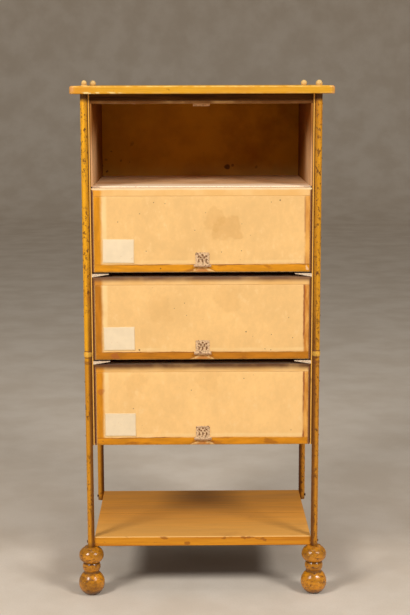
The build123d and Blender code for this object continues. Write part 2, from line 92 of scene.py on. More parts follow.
FOOT_GROOVES = (43.2 * MM, 61 * MM)  # above and below a foot's ring


def paint(red, green, blue):
    """A screen colour of 0 to 255, as the linear colour that the shaders take."""
    shares = (red / 255, green / 255, blue / 255)
    return tuple(s / 12.92 if s <= 0.04045 else ((s + 0.055) / 1.055) ** 2.4 for s in shares)


# ------------------------------------------------------------------- settings
class CabinetSizes(bpy.types.PropertyGroup):
    """Sizes of what is modelled here and not in the CAD model."""

    label_width: FloatProperty(
        name="Label width", description="Width of a flap's paper label",
        default=56 * MM, unit="LENGTH",
    )
    label_height: FloatProperty(
        name="Label height", description="Height of a flap's paper label",
        default=43 * MM, unit="LENGTH",
    )
    label_inset: FloatProperty(
        name="Label inset", description="From the flap's left end to the label",
        default=15.2 * MM, unit="LENGTH",
    )
    label_lift: FloatProperty(
        name="Label lift", description="From the flap's foot to the label's lower edge",
        default=16.5 * MM, unit="LENGTH",
    )
    left_margin: FloatProperty(
        name="Left margin", description="Width of the ochre margin at a face's left end",
        default=12.5 * MM, unit="LENGTH",
    )
    right_margin: FloatProperty(
        name="Right margin", description="Width of the paler margin at a face's right end",
        default=8 * MM, unit="LENGTH",
    )
    foot_margin: FloatProperty(
        name="Foot margin", description="Height of the ochre margin along a face's foot",
        default=13 * MM, unit="LENGTH",
    )
    paper: FloatProperty(
        name="Face paper", description="Thickness of the paper on the flaps",
        default=0.28 * MM, unit="LENGTH",
    )
    cockle: FloatProperty(
        name="Cockle", description="How far the old paper stands off its board",
        default=0.22 * MM, unit="LENGTH",
    )
    cloth: FloatProperty(
        name="Hinge cloth", description="Thickness of the hinge cloth",
        default=0.28 * MM, unit="LENGTH",
    )


class CabinetColours(bpy.types.PropertyGroup):
    """The finishes' main colours."""

    ochre: FloatVectorProperty(
        name="Ochre paint", description="The posts' and boards' old ochre paint",
        subtype="COLOR", default=paint(246, 172, 24), min=0, max=1,
    )
    top: FloatVectorProperty(
        name="Top paint", description="The top board's brighter paint",
        subtype="COLOR", default=paint(226, 162, 40), min=0, max=1,
    )
    cream: FloatVectorProperty(
        name="Cream paper", description="The aged paper of the flap faces",
        subtype="COLOR", default=paint(243, 194, 124), min=0, max=1,
    )
    label: FloatVectorProperty(
        name="Label paper", description="The labels' paler paper",
        subtype="COLOR", default=paint(242, 218, 180), min=0, max=1,
    )
    wood: FloatVectorProperty(
        name="Shelf wood", description="The shelf's orange-brown wood",
        subtype="COLOR", default=paint(244, 162, 60), min=0, max=1,
    )
    turned: FloatVectorProperty(
        name="Turned wood", description="The feet's rubbed paint",
        subtype="COLOR", default=paint(222, 144, 28), min=0, max=1,
    )
    metal: FloatVectorProperty(
        name="Pull metal", description="The pulls' dull plating",
        subtype="COLOR", default=paint(236, 196, 150), min=0, max=1,
    )


def sizes():
    """The sizes as they are set now."""
    return bpy.context.scene.cabinet_sizes


def colours():
    """The colours as they are set now."""
    return bpy.context.scene.cabinet_colours


# ------------------------------------------------------------------ finishes
class Finish:
    """A procedural finish, built up layer by layer on Object or UV coordinates."""

    def __init__(self, name, roughness=0.6, metallic=0.0, gloss=0.3):
        self.material = bpy.data.materials.new(name)
        self.material.use_nodes = True
        self.tree = self.material.node_tree
        self.tree.nodes.clear()
        output = self.add("ShaderNodeOutputMaterial")
        self.shader = self.add("ShaderNodeBsdfPrincipled")
        self.link(self.shader.outputs[0], output.inputs["Surface"])
        self.shader.inputs["Roughness"].default_value = roughness
        self.shader.inputs["Metallic"].default_value = metallic
        self.shader.inputs["Specular IOR Level"].default_value = gloss
        places = self.add("ShaderNodeTexCoord")
        self.place = places.outputs["Object"]
        self.flat = places.outputs["UV"]
        self.tone = None  # the colour so far

    def add(self, kind, **settings):
        node = self.tree.nodes.new(kind)
        for name, value in settings.items():
            setattr(node, name, value)
        return node

    def link(self, source, target):
        self.tree.links.new(source, target)

    def feed(self, target, value):
        """Links a socket, or sets a plain value."""
        if isinstance(value, bpy.types.NodeSocket):
            self.link(value, target)
        elif target.type == "RGBA":
            target.default_value = (*value[:3], 1.0)
        else:
            target.default_value = value

    def axis(self, letter, source=None):
        """One coordinate of a place, in metres."""
        parts = self.add("ShaderNodeSeparateXYZ")
        self.link(source or self.place, parts.inputs[0])
        return parts.outputs[letter]

    def calc(self, operation, first, second=0.0, third=0.0):
        """One of the Math node's operations, on sockets or plain numbers."""
        node = self.add("ShaderNodeMath", operation=operation)
        for target, value in zip(node.inputs, (first, second, third)):
            self.feed(target, value)
        return node.outputs[0]

    def stretched(self, stretch):
        """The object's own places, stretched for a pattern."""
        mapping = self.add("ShaderNodeMapping")
        self.link(self.place, mapping.inputs["Vector"])
        mapping.inputs["Scale"].default_value = stretch
        return mapping.outputs[0]

    def grain(self, scale, stretch=(1, 1, 1), detail=4.0, roughness=0.55):
        """Cloudy noise, 0 to 1, with scale in cells per metre."""
        node = self.add("ShaderNodeTexNoise")
        self.link(self.stretched(stretch), node.inputs["Vector"])
        node.inputs["Scale"].default_value = scale
        node.inputs["Detail"].default_value = detail
        node.inputs["Roughness"].default_value = roughness
        return node.outputs["Fac"]

    def cells(self, scale, stretch=(1, 1, 1)):
        """Distance to scattered points, with scale in points per metre."""
        node = self.add("ShaderNodeTexVoronoi")
        self.link(self.stretched(stretch), node.inputs["Vector"])
        node.inputs["Scale"].default_value = scale
        return node.outputs["Distance"]

    def rise(self, value, low, high):
        """Smoothly from 0 where value is low to 1 where it is high."""
        node = self.add("ShaderNodeMapRange", interpolation_type="SMOOTHSTEP")
        falling = high < low
        self.feed(node.inputs["Value"], value)
        node.inputs["From Min"].default_value = min(low, high)
        node.inputs["From Max"].default_value = max(low, high)
        node.inputs["To Min"].default_value = 1.0 if falling else 0.0
        node.inputs["To Max"].default_value = 0.0 if falling else 1.0
        return node.outputs[0]

    def near(self, value, middle, half, soft):
        """1 within half of the middle, falling to 0 over soft."""
        away = self.calc("ABSOLUTE", self.calc("SUBTRACT", value, middle))
        return self.rise(away, half + soft, half)

    def both(self, first, second):
        """The product of two shares of 0 to 1."""
        return self.calc("MULTIPLY", first, second)

    def blend(self, share, under, over):
        """Two colours, mixed by a share of 0 to 1."""
        node = self.add("ShaderNodeMix", data_type="RGBA")
        self.feed(node.inputs[0], share)
        self.feed(node.inputs[6], under)
        self.feed(node.inputs[7], over)
        return node.outputs[2]

    def mottled(self, pattern, dark, light):
        """Two colours, mixed by a pattern of 0 to 1 around a half."""
        return self.blend(self.rise(pattern, 0.3, 0.7), dark, light)

    def over(self, colour, share, strength=1.0):
        """Lays a colour over the tone so far, where share is 1, as strongly as said."""
        if strength != 1.0:
            share = self.both(share, strength)
        self.tone = self.blend(share, self.tone, colour)

    def warped(self, value, scale, reach):
        """A coordinate that wavers by up to reach."""
        waver = self.calc("SUBTRACT", self.grain(scale, detail=3.0), 0.5)
        return self.calc("MULTIPLY_ADD", waver, 2 * reach, value)

    def spot(self, across, up, place, radius, waver):
        """1 inside a ragged round stain at a place across and up, and 0 beyond it."""
        aside = self.calc("SUBTRACT", self.warped(across, 21, waver), place[0])
        above = self.calc("SUBTRACT", self.warped(up, 33, waver), place[1])
        square = self.calc("MULTIPLY_ADD", above, above, self.both(aside, aside))
        ragged = self.warped(self.calc("SQRT", square), 75, waver * 0.4)
        return self.rise(ragged, radius * 1.1, radius * 0.75)

    def threads(self, count, letter):
        """Threads across one direction of a sheet's own map, in threads per metre."""
        turns = self.calc("MULTIPLY", self.axis(letter, self.flat), count * math.pi)
        return self.calc("MULTIPLY_ADD", self.calc("SINE", turns), 0.5, 0.5)

    def relief(self, height, depth, strength):
        """Bumps of the given depth, in metres."""
        node = self.add("ShaderNodeBump")
        node.inputs["Strength"].default_value = strength
        node.inputs["Distance"].default_value = depth
        self.link(height, node.inputs["Height"])
        self.link(node.outputs[0], self.shader.inputs["Normal"])

    def done(self, roughness=None):
        """The finished material, in the tone so far."""
        self.feed(self.shader.inputs["Base Color"], self.tone)
        if roughness is not None:
            self.feed(self.shader.inputs["Roughness"], roughness)
        return self.material


def scaled(colour, share):
    """The same colour, darker or a little lighter."""
    return tuple(c * share for c in colour[:3])


def dress(material, *nodes):
    """Puts a finish on CAD nodes, which keep their shape."""
    for name in nodes:
        for slot in frame["nodes"][name].material_slots:
            slot.material = material


def button_finish():
    """The buttons: pale brushed paint with rubs and dark specks."""
    colour = paint(226, 184, 112)
    f = Finish("button_paint", roughness=0.42)
    streaks = f.grain(420, (1, 1, 0.05), detail=5)
    clouds = f.grain(16, detail=3)
    f.tone = f.blend(f.rise(streaks, 0.3, 0.72), scaled(colour, 0.84), colour)
    f.over(scaled(colour, 1.08), f.rise(clouds, 0.35, 0.75))
    rubs = f.rise(f.grain(75, (1, 1, 0.05), detail=6), 0.56, 0.64)
    f.over(scaled(colour, 0.42), rubs, 0.55)
    specks = f.both(f.rise(f.cells(170, (1, 1, 0.6)), 0.24, 0.1), f.rise(f.grain(30), 0.48, 0.56))
    f.over(paint(92, 48, 14), specks, 0.8)
    f.relief(f.calc("ADD", streaks, f.both(rubs, -1.2)), 0.25 * MM, 0.5)
    return f.done(f.rise(clouds, -0.3, 1.6))


def top_finish():
    """The top board's paint: streaked, clouded and rubbed, with worn edges."""
    c = colours().top
    f = Finish("top_board_paint", roughness=0.42)
    streaks = f.grain(380, (0.05, 1, 1), detail=6)
    clouds = f.grain(14, (0.5, 1, 1), detail=4)
    f.tone = f.mottled(streaks, scaled(c, 0.82), tuple(c))
    f.over(paint(212, 140, 34), f.rise(clouds, 0.45, 0.75))
    rubs = f.rise(f.grain(40, (0.1, 1, 1), detail=5), 0.56, 0.72)
    f.over(paint(176, 104, 22), rubs, 0.45)
    ragged = f.grain(110, (0.6, 1, 1), detail=6, roughness=0.65)
    chips = chipped_foot(f, ragged)
    rubbed_rims(f, ragged)
    flecks = f.rise(f.grain(150, (0.5, 1, 1), detail=5, roughness=0.65), 0.68, 0.72)
    f.over(paint(120, 62, 16), flecks, 0.7)
    f.relief(f.calc("SUBTRACT", streaks, chips), 0.3 * MM, 0.5)
    return f.done(f.rise(clouds, -0.3, 1.6))


def chipped_foot(f, ragged):
    """Pale chips on the top board's lower edges, most of them at the left, with a line of
    painted shade below them. Returns where the chips are."""
    low = TOP_BOARD[0]
    height = f.axis("Z")
    foot = f.rise(f.warped(height, 70, 1.6 * MM), low.z + 4 * MM, low.z + 2 * MM)
    leftward = f.rise(f.axis("X"), low.x + 110 * MM, low.x + 60 * MM)
    some = f.calc("MULTIPLY_ADD", leftward, 0.75, 0.1)
    chips = f.both(f.both(foot, f.rise(ragged, 0.46, 0.54)), some)
    f.over(paint(252, 222, 150), chips)
    # painted shade: a dark band along the board's lowest edge
    shade_band = f.rise(f.warped(height, 40, 1 * MM), low.z + 1.6 * MM, low.z + 0.4 * MM)
    f.over(paint(110, 58, 16), shade_band, 0.5)
    return chips


def rubbed_rims(f, ragged):
    """Paler paint along the top board's upper front and rear edges and at its ends."""
    low, high = TOP_BOARD
    arris = f.rise(f.warped(f.axis("Z"), 60, 0.8 * MM), high.z - 3 * MM, high.z - 1.2 * MM)
    fore = f.warped(f.calc("ABSOLUTE", f.axis("Y")), 60, 2 * MM)
    edge = f.both(arris, f.rise(fore, high.y - 6 * MM, high.y - 2 * MM))
    f.over(paint(240, 190, 96), f.both(edge, f.rise(ragged, 0.4, 0.6)))
    middle, half = (low.x + high.x) / 2, (high.x - low.x) / 2
    out = f.warped(f.calc("ABSOLUTE", f.calc("SUBTRACT", f.axis("X"), middle)), 50, 4 * MM)
    end = f.rise(out, half - 12 * MM, half - 2 * MM)
    f.over(paint(226, 158, 92), f.both(end, f.rise(ragged, 0.36, 0.6)))


def post_finish():
    """The posts' ochre paint, browner below the collar, with flecks, painted shade and a painted
    highlight on the collar.
    """
    c = colours().ochre
    f = Finish("post_ochre_paint", roughness=0.4)
    height = f.axis("Z")
    streaks = f.grain(520, (1, 1, 0.04), detail=5)
    clouds = f.grain(22, (1, 1, 0.5), detail=3)
    f.tone = f.mottled(streaks, scaled(c, 0.78), tuple(c))
    f.over(paint(196, 112, 22), f.rise(clouds, 0.55, 0.8))
    below = f.rise(f.warped(height, 30, 6 * MM), COLLAR_TOP + 4 * MM, COLLAR_TOP - 26 * MM)
    f.over(paint(182, 108, 18), below, 0.5)
    flecks = post_flecks(f)
    post_painted_shade(f, height)
    collar_marks(f, height)
    f.relief(f.calc("SUBTRACT", streaks, flecks), 0.3 * MM, 0.45)
    return f.done()


def post_flecks(f):
    """Dark flecks in the manner of cane, thickest on the browner right posts. Returns
    where the fine ones are."""
    rightward = f.rise(f.axis("X"), -50 * MM, 50 * MM)
    f.over(paint(176, 108, 22), rightward, 0.4)
    fine = f.rise(f.grain(220, (1, 1, 0.6), detail=7, roughness=0.7), 0.53, 0.6)
    patches = f.rise(f.grain(15, (1, 1, 0.6), detail=3), 0.46, 0.58)
    patches = f.calc("MAXIMUM", patches, f.both(rightward, 0.8))
    f.over(paint(84, 42, 12), f.both(fine, patches), 0.9)
    dashes = f.rise(f.grain(150, (1.2, 1.2, 0.5), detail=6, roughness=0.68), 0.66, 0.7)
    f.over(paint(88, 44, 12), dashes, 0.8)
    return fine


def post_painted_shade(f, height):
    """Painted shade on the posts' inner sides, a painted shadow under the top board, and painted
    shade down at the shelf.
    """
    # painted shade on each post's inner side, stronger low down
    inward = f.warped(f.calc("ABSOLUTE", f.axis("X")), 45, 1.2 * MM)
    inner = f.rise(inward, POST_X + 1.5 * MM, POST_X - 3.5 * MM)
    lower = f.rise(f.warped(height, 12, 60 * MM), COLLAR_TOP + 190 * MM, COLLAR_TOP - 20 * MM)
    f.over(paint(98, 50, 10), f.both(inner, f.calc("MULTIPLY_ADD", lower, 0.55, 0.3)))
    top = TOP_BOARD[0].z
    # painted shadow of the top board on the posts' tops
    under_top = f.rise(f.warped(height, 70, 4 * MM), top - 17 * MM, top - 7 * MM)
    f.over(paint(64, 32, 14), under_top, 0.85)
    # painted shade on the posts down at the shelf
    at_shelf = f.rise(f.warped(height, 60, 4 * MM), 102 * MM, 92 * MM)
    f.over(paint(92, 52, 18), at_shelf, 0.6)


def collar_marks(f, height):
    """Painted shade in the collar's grooves, and a painted highlight on the collar."""
    for drop in COLLAR_GROOVES:
        # painted shade in each groove of the collar
        shade_band = f.near(height, COLLAR_TOP - drop, 0.3 * MM, 1.3 * MM)
        f.over(paint(104, 54, 14), shade_band, 0.75)
    # painted highlight: a paler band on the collar
    collar = f.near(height, COLLAR_TOP - 6 * MM, 3 * MM, 2 * MM)
    f.over(paint(250, 196, 84), collar, 0.45)


def turned_finish():
    """The feet: ochre rubbed through to brown, with lathe lines, pale chips, and painted shade in
    the grooves and at the bottom.
    """
    c = colours().turned
    f = Finish("turned_foot_paint", gloss=0.5)
    lathe = f.grain(900, (0.05, 0.05, 1), detail=3)
    scuffs = f.grain(170, (1, 1, 1.8), detail=8, roughness=0.74)
    clouds = f.grain(26, (1, 1, 1.6), detail=4)
    f.tone = f.blend(f.rise(clouds, 0.34, 0.64), scaled(c, 0.5), tuple(c))
    f.over(paint(112, 62, 14), f.rise(scuffs, 0.5, 0.6), 0.75)
    f.over(paint(74, 40, 14), f.rise(scuffs, 0.57, 0.64), 0.85)
    chips = f.rise(f.grain(260, (1, 1, 2.6), detail=6), 0.62, 0.68)
    f.over(paint(232, 176, 92), chips, 0.6)
    height = f.axis("Z")
    for groove in FOOT_GROOVES:
        # painted shade in the feet's grooves
        shade_band = f.near(f.warped(height, 90, 1 * MM), groove, 1.2 * MM, 3 * MM)
        f.over(paint(70, 38, 14), shade_band, 0.7)
    # painted shade at the bottom of each foot
    ground = f.rise(f.warped(height, 70, 3 * MM), 15 * MM, 3 * MM)
    f.over(paint(64, 38, 20), ground, 0.8)
    f.relief(f.calc("MULTIPLY_ADD", lathe, 0.4, scuffs), 0.5 * MM, 0.5)
    return f.done(f.rise(scuffs, 0.15, 1.4))


def shelf_finish():
    """Orange-brown boards with grain along X, paler to the front in painted light, and ochre paint
    on the front edge.
    """
    c = colours().wood
    f = Finish("shelf_wood_grain", roughness=0.5)
    fine = f.grain(260, (0.035, 1, 1), detail=6)
    figure = f.grain(26, (0.12, 1, 0.4), detail=4)
    f.tone = f.mottled(figure, scaled(c, 0.84), tuple(c))
    f.over(scaled(c, 0.66), f.rise(fine, 0.42, 0.7), 0.5)
    joint = f.near(f.axis("Y"), SHELF_JOINT, 0.5 * MM, 1.2 * MM)
    f.over(paint(128, 78, 30), joint, 0.35)
    # painted light: the front board paler towards the front
    outer = f.rise(f.warped(f.axis("Y"), 20, 9 * MM), SHELF_JOINT, SHELF_FRONT + 20 * MM)
    f.over(paint(244, 184, 96), outer, 0.5)
    stain = f.rise(f.grain(9, detail=4), 0.58, 0.72)
    f.over(paint(150, 90, 46), stain, 0.25)
    height = f.axis("Z")
    front = f.rise(f.axis("Y"), SHELF_FRONT + 1.6 * MM, SHELF_FRONT + 0.8 * MM)
    edge_tone = f.blend(f.rise(fine, 0.35, 0.7), paint(222, 146, 26), paint(196, 118, 18))
    f.over(edge_tone, f.both(front, f.rise(height, SHELF_TOP - 0.6 * MM, SHELF_TOP - 1.4 * MM)))
    arris = f.both(
        f.near(f.warped(f.axis("Y"), 120, 0.7 * MM), SHELF_FRONT + 0.9 * MM, 0.5 * MM, 0.8 * MM),
        f.rise(height, SHELF_TOP - 2 * MM, SHELF_TOP - 0.8 * MM),
    )
    f.over(paint(244, 196, 124), arris, 0.7)
    chips = f.both(front, f.rise(f.grain(90, (0.5, 1, 1), detail=5), 0.6, 0.66))
    f.over(paint(150, 82, 20), chips, 0.7)
    f.over(paint(74, 44, 22), f.rise(height, SHELF_FOOT + 1.2 * MM, SHELF_FOOT + 0.6 * MM))
    f.relief(fine, 0.3 * MM, 0.4)
    return f.done(f.rise(figure, -0.5, 1.5))


def case_finish():
    """Thin case boards: ochre, with a pale worn front edge beside a dark seam of painted shade,
    and brown under the bottom board."""
    c = colours().ochre
    f = Finish("case_board_paint", roughness=0.55)
    streaks = f.grain(300, (1, 1, 0.08), detail=5)
    f.tone = f.mottled(streaks, scaled(c, 0.7), scaled(c, 0.95))
    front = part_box("case_side_left")[0].y
    worn = f.rise(f.warped(f.axis("Y"), 140, 1.2 * MM), front + 2.4 * MM, front + 0.6 * MM)
    f.over(paint(236, 178, 92), worn, 0.6)
    blotch = f.rise(f.grain(60, detail=5), 0.6, 0.7)
    f.over(paint(140, 80, 24), blotch, 0.4)
    aside = f.calc("ABSOLUTE", f.axis("X"))
    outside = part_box("case_side_right")[1].x
    # painted shade: a dark line on the side boards' front edges, next to the posts
    seam = f.rise(f.warped(aside, 40, 0.25 * MM), outside - 1.5 * MM, outside - 0.8 * MM)
    seam = f.both(seam, f.rise(f.axis("Y"), front + 7 * MM, front + 3 * MM))
    f.over(paint(84, 38, 12), seam, 0.92)
    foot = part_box("case_bottom")[0].z
    under = f.rise(f.axis("Z"), foot + 0.8 * MM, foot + 0.4 * MM)
    f.over(f.mottled(streaks, paint(66, 38, 18), paint(92, 56, 28)), under)
    f.relief(streaks, 0.3 * MM, 0.4)
    return f.done()


def rail_finish():
    """The rail under the top board: brown with age, lighter in streaks."""
    f = Finish("rail_brown_paint", roughness=0.7, gloss=0.1)
    streaks = f.grain(260, (0.05, 1, 1), detail=5)
    f.tone = f.mottled(streaks, paint(66, 34, 8), paint(104, 60, 20))
    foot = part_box("top_rail")[0].z
    edge = f.rise(f.warped(f.axis("Z"), 30, 0.8 * MM), foot + 2.4 * MM, foot + 0.8 * MM)
    f.over(paint(150, 90, 34), edge, 0.5)
    f.relief(streaks, 0.3 * MM, 0.4)
    return f.done()


def pasteboard_finish(name, low_edge, high_edge):
    """Carton board: ochre-brown paper, with front edges whose colour turns from low_edge to
    high_edge half way up the top carton: rubbed or darkened in painted shade, as the callers give."""
    f = Finish(name, roughness=0.75)
    fibres = f.grain(700, (1, 1, 1), detail=5)
    clouds = f.grain(24, detail=4)
    f.tone = f.blend(f.rise(clouds, 0.25, 0.75), paint(188, 122, 56), paint(208, 142, 72))
    f.over(paint(150, 92, 40), f.rise(fibres, 0.4, 0.75))
    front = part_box("carton_2_shell")[0].y
    worn = f.rise(f.warped(f.axis("Y"), 150, 1.2 * MM), front + 3 * MM, front + 0.4 * MM)
    # the edges' colour: on the top carton rubbed pale low down and darker above in painted shade;
    # on the others dark in painted shade
    turn = f.rise(f.axis("Z"), CARTON_TOPS[1] - 110 * MM, CARTON_TOPS[1] - 40 * MM)
    f.over(f.blend(turn, low_edge, high_edge), worn, 0.9)
    bare = f.near(f.axis("Y"), FLOOR_FRONT, 0.6 * MM, 1.0 * MM)
    f.over(paint(255, 238, 210), f.both(bare, f.rise(fibres, 0.2, 0.5)))
    f.relief(fibres, 0.2 * MM, 0.4)
    return f.done()


LINING_STAINS = (
    # on the back wall: place across, height above the lining's foot, radius, strength
    (0.051, 0.019, 0.006, 0.8), (0.062, 0.022, 0.003, 0.6), (-0.155, 0.028, 0.003, 0.4),
    (-0.184, 0.031, 0.003, 0.4), (0.11, 0.016, 0.003, 0.4),
)


def lining_finish():
    """Cream lining paper; side walls darker to the back and top in painted shadow, floor paler at
    the front in painted light.
    """
    low, high = LINING
    f = Finish("lining_paper", roughness=0.8, gloss=0.12)
    fibres = f.grain(800, detail=4)
    clouds = f.grain(18, detail=5)
    depth, height = f.axis("Y"), f.axis("Z")
    pale = f.mottled(clouds, paint(206, 158, 108), paint(226, 184, 136))
    wall = f.rise(f.calc("SUBTRACT", high.x, f.calc("ABSOLUTE", f.axis("X"))), 0.8 * MM, 0.4 * MM)
    # painted shadow: the side walls darker towards the back and the top
    deep = f.rise(f.warped(depth, 20, 14 * MM), -135 * MM, 30 * MM)
    upper = f.rise(f.warped(height, 20, 14 * MM), low.z + 25 * MM, high.z - 25 * MM)
    f.tone = f.blend(wall, pale, f.blend(f.calc("MAXIMUM", deep, upper), pale, paint(126, 74, 22)))
    # painted light: the floor paler towards its front
    lip = f.rise(f.warped(depth, 60, 6 * MM), -66 * MM, -100 * MM)
    f.over(paint(250, 226, 192), f.both(lip, f.calc("SUBTRACT", 1.0, wall)), 0.85)
    browned_back(f, f.rise(depth, high.y - 2 * MM, high.y - 1 * MM), height, clouds)
    f.relief(fibres, 0.12 * MM, 0.4)
    return f.done()


def browned_back(f, back, height, clouds):
    """The lining's back wall: brown paper, stained, and lighter low down and at the left in
    painted light.
    """
    foot = LINING[0].z
    browned = f.blend(f.rise(clouds, 0.3, 0.65), paint(164, 104, 12), paint(198, 134, 24))
    # painted light: the back wall lighter low down
    low = f.rise(f.warped(height, 30, 9 * MM), foot + 34 * MM, foot + 4 * MM)
    browned = f.blend(f.both(low, 0.5), browned, paint(196, 148, 78))
    # painted light: the back wall lighter towards the left
    leftward = f.rise(f.warped(f.axis("X"), 9, 40 * MM), 150 * MM, -150 * MM)
    browned = f.blend(f.both(leftward, 0.45), browned, paint(212, 146, 34))
    f.over(browned, back)
    spots = f.rise(f.grain(56, (1, 1, 1.3), detail=4), 0.67, 0.72)
    scattered = f.both(f.both(spots, back), f.rise(height, foot + 90 * MM, foot + 20 * MM))
    f.over(paint(64, 30, 10), scattered, 0.85)
    for x, lift, radius, strength in LINING_STAINS:
        stain = f.spot(f.axis("X"), height, (x, foot + lift), radius, 6 * MM)
        f.over(paint(58, 26, 8), f.both(stain, back), strength)


def runner_finish():
    """Bare pale runners, greyed and fuzzy."""
    f = Finish("runner_bare_wood", roughness=0.8)
    fibres = f.grain(500, (1, 0.08, 1), detail=6)
    f.tone = f.mottled(fibres, paint(188, 156, 122), paint(240, 218, 190))
    f.relief(fibres, 0.4 * MM, 0.6)
    return f.done()


def iron_finish():
    """Dark iron with rust."""
    f = Finish("rusted_iron", roughness=0.55, metallic=0.7)
    rust = f.rise(f.grain(900, detail=5), 0.4, 0.6)
    f.relief(rust, 0.1 * MM, 0.5)
    f.tone = f.blend(rust, paint(92, 78, 66), paint(96, 52, 26))
    return f.done()


def pull_finish():
    """Dull plated sheet with brown rust in its hollows, and its lip darkened in painted shade."""
    c = colours().metal
    f = Finish("pull_plated_sheet", roughness=0.5, metallic=0.15)
    mottle = f.grain(420, detail=6, roughness=0.65)
    f.tone = f.blend(f.rise(mottle, 0.32, 0.6), scaled(c, 0.62), tuple(c))
    rust = f.rise(f.grain(300, detail=5), 0.52, 0.64)
    f.over(paint(112, 66, 40), rust, 0.8)
    # painted shade: the lip darkened
    lip = f.rise(f.axis("Y"), SHUT_FACING[0].y - 1.2 * MM, SHUT_FACING[0].y - 2.4 * MM)
    f.over(paint(120, 78, 48), lip, 0.55)
    f.relief(mottle, 0.25 * MM, 0.6)
    return f.done(f.rise(mottle, -0.2, 1.2))


FACE_WEAR_AND_LIGHT = {
    # flap: left and foot margins, right margin, strength of the line inside the right
    # margin, and how much brighter the cream field is painted, as painted light on the lower flaps
    1: (paint(218, 140, 12), paint(218, 148, 60), 0.5, 1.0),
    2: (paint(228, 148, 10), paint(206, 136, 54), 0.45, 1.0),
    3: (paint(200, 122, 10), paint(188, 110, 20), 0.9, 1.03),
    4: (paint(224, 142, 10), paint(204, 132, 44), 0.9, 1.1),
}
BROWNED = paint(202, 146, 72)
SOILED = paint(70, 40, 20)
FRAYED = paint(255, 238, 208)
REDDENED = paint(168, 84, 40)
FACE_STAINS = {
    # flap: middle across and up, radius, raggedness, strength and tone of each stain
    1: ((0.10, 0.09, 0.025, 0.026, 0.2, BROWNED),),
    2: (
        (0.236, 0.078, 0.024, 0.026, 0.3, BROWNED), (0.212, 0.096, 0.019, 0.026, 0.22, BROWNED),
        (0.33, 0.128, 0.0016, 0.004, 0.8, SOILED), (0.378, 0.005, 0.003, 0.016, 0.35, FRAYED),
        (0.118, 0.006, 0.0014, 0.002, 0.8, SOILED),
    ),
    3: (
        (0.115, 0.092, 0.024, 0.026, 0.14, BROWNED), (0.24, 0.112, 0.03, 0.026, 0.16, BROWNED),
        (0.08, 0.019, 0.002, 0.005, 0.85, SOILED), (0.04, 0.007, 0.009, 0.016, 0.5, REDDENED),
        (0.27, 0.05, 0.0012, 0.002, 0.7, SOILED),
    ),
    4: (
        (0.07, 0.118, 0.024, 0.026, 0.16, BROWNED), (0.205, 0.12, 0.022, 0.026, 0.14, BROWNED),
        (0.01, 0.1, 0.006, 0.014, 0.4, REDDENED),
    ),
}


def face_finish(number):
    """A flap's aged paper: a cream field, ochre margins, stains and worn edges."""
    margin_tone, right_tone, line_strength, painted_brightness = FACE_WEAR_AND_LIGHT[number]
    f = Finish(f"face_paper_{number}", roughness=0.62)
    across, up = f.axis("X", f.flat), f.axis("Y", f.flat)
    clouds = f.grain(13, detail=5)
    fibres = f.grain(900, (1, 1, 0.5), detail=4)
    # painted light: the cream field brighter on the lower flaps
    cream_field(f, scaled(colours().cream, painted_brightness), clouds, fibres)
    left_edge = f.warped(f.warped(across, 16, 1.8 * MM), 110, 1.2 * MM)
    foot_edge = f.warped(f.warped(up, 12, 1.8 * MM), 100, 0.8 * MM)
    pale_strips(f, left_edge, foot_edge, clouds)
    tall_grain = f.grain(120, (1, 1, 0.2), detail=5)
    left_margin(f, left_edge, tall_grain, margin_tone)
    right_margin(f, across, tall_grain, right_tone, line_strength)
    foot_margin(f, foot_edge, clouds, margin_tone)
    for x, z, radius, ragged, strength, stain_tone in FACE_STAINS[number]:
        f.over(stain_tone, f.spot(across, up, (x, z), radius, ragged), strength)
    worn_scoop(f, across, up)
    worn_rims(f, across, up)
    f.relief(f.calc("MULTIPLY_ADD", clouds, 3.0, fibres), 0.12 * MM, 0.5)
    return f.done(f.rise(clouds, -0.6, 1.3))


def cream_field(f, cream, clouds, fibres):
    """Cream paper, mottled darker and paler."""
    f.tone = f.blend(f.rise(clouds, 0.32, 0.7), scaled(cream, 0.9), cream)
    mottle = f.grain(95, (1, 1, 0.7), detail=7, roughness=0.68)
    f.over(scaled(cream, 0.78), f.rise(mottle, 0.44, 0.62), 0.2)
    f.over(paint(250, 212, 152), f.rise(mottle, 0.46, 0.3), 0.35)
    f.over(paint(206, 146, 78), f.rise(fibres, 0.5, 0.8), 0.18)


def pale_strips(f, left_edge, foot_edge, clouds):
    """Broken paler strips inside the left and the foot margin."""
    s = sizes()
    beside = f.near(left_edge, s.left_margin + 6 * MM, 1.5 * MM, 5 * MM)
    beside = f.both(beside, f.rise(foot_edge, s.foot_margin, s.foot_margin + 4 * MM))
    f.over(paint(252, 218, 156), f.both(beside, f.rise(clouds, 0.3, 0.55)), 0.55)
    above = f.near(foot_edge, s.foot_margin + 5.5 * MM, 1 * MM, 3 * MM)
    f.over(paint(252, 214, 150), f.both(above, f.rise(clouds, 0.65, 0.4)), 0.4)


def left_margin(f, left_edge, tall_grain, tone):
    """The ochre margin at a face's left end."""
    width = sizes().left_margin
    left = f.rise(left_edge, width + 4.0 * MM, width - 2.5 * MM)
    f.over(f.mottled(tall_grain, scaled(tone, 0.74), tone), left)


def right_margin(f, across, tall_grain, tone, line_strength):
    """The paler margin at a face's right end, with a broken dark line inside it."""
    width = sizes().right_margin
    from_right = f.calc("SUBTRACT", FLAP_WIDTH, across)
    edge = f.warped(f.warped(from_right, 24, 1.8 * MM), 110, 1 * MM)
    right = f.rise(edge, width + 2.5 * MM, width - 1.5 * MM)
    f.over(f.mottled(tall_grain, tone, paint(236, 172, 84)), right)
    line = f.near(edge, width + 0.6 * MM, 0.6 * MM, 2.0 * MM)
    broken = f.rise(f.grain(26, (1, 1, 0.7), detail=4), 0.36, 0.56)
    f.over(paint(150, 76, 26), f.both(line, broken), line_strength)


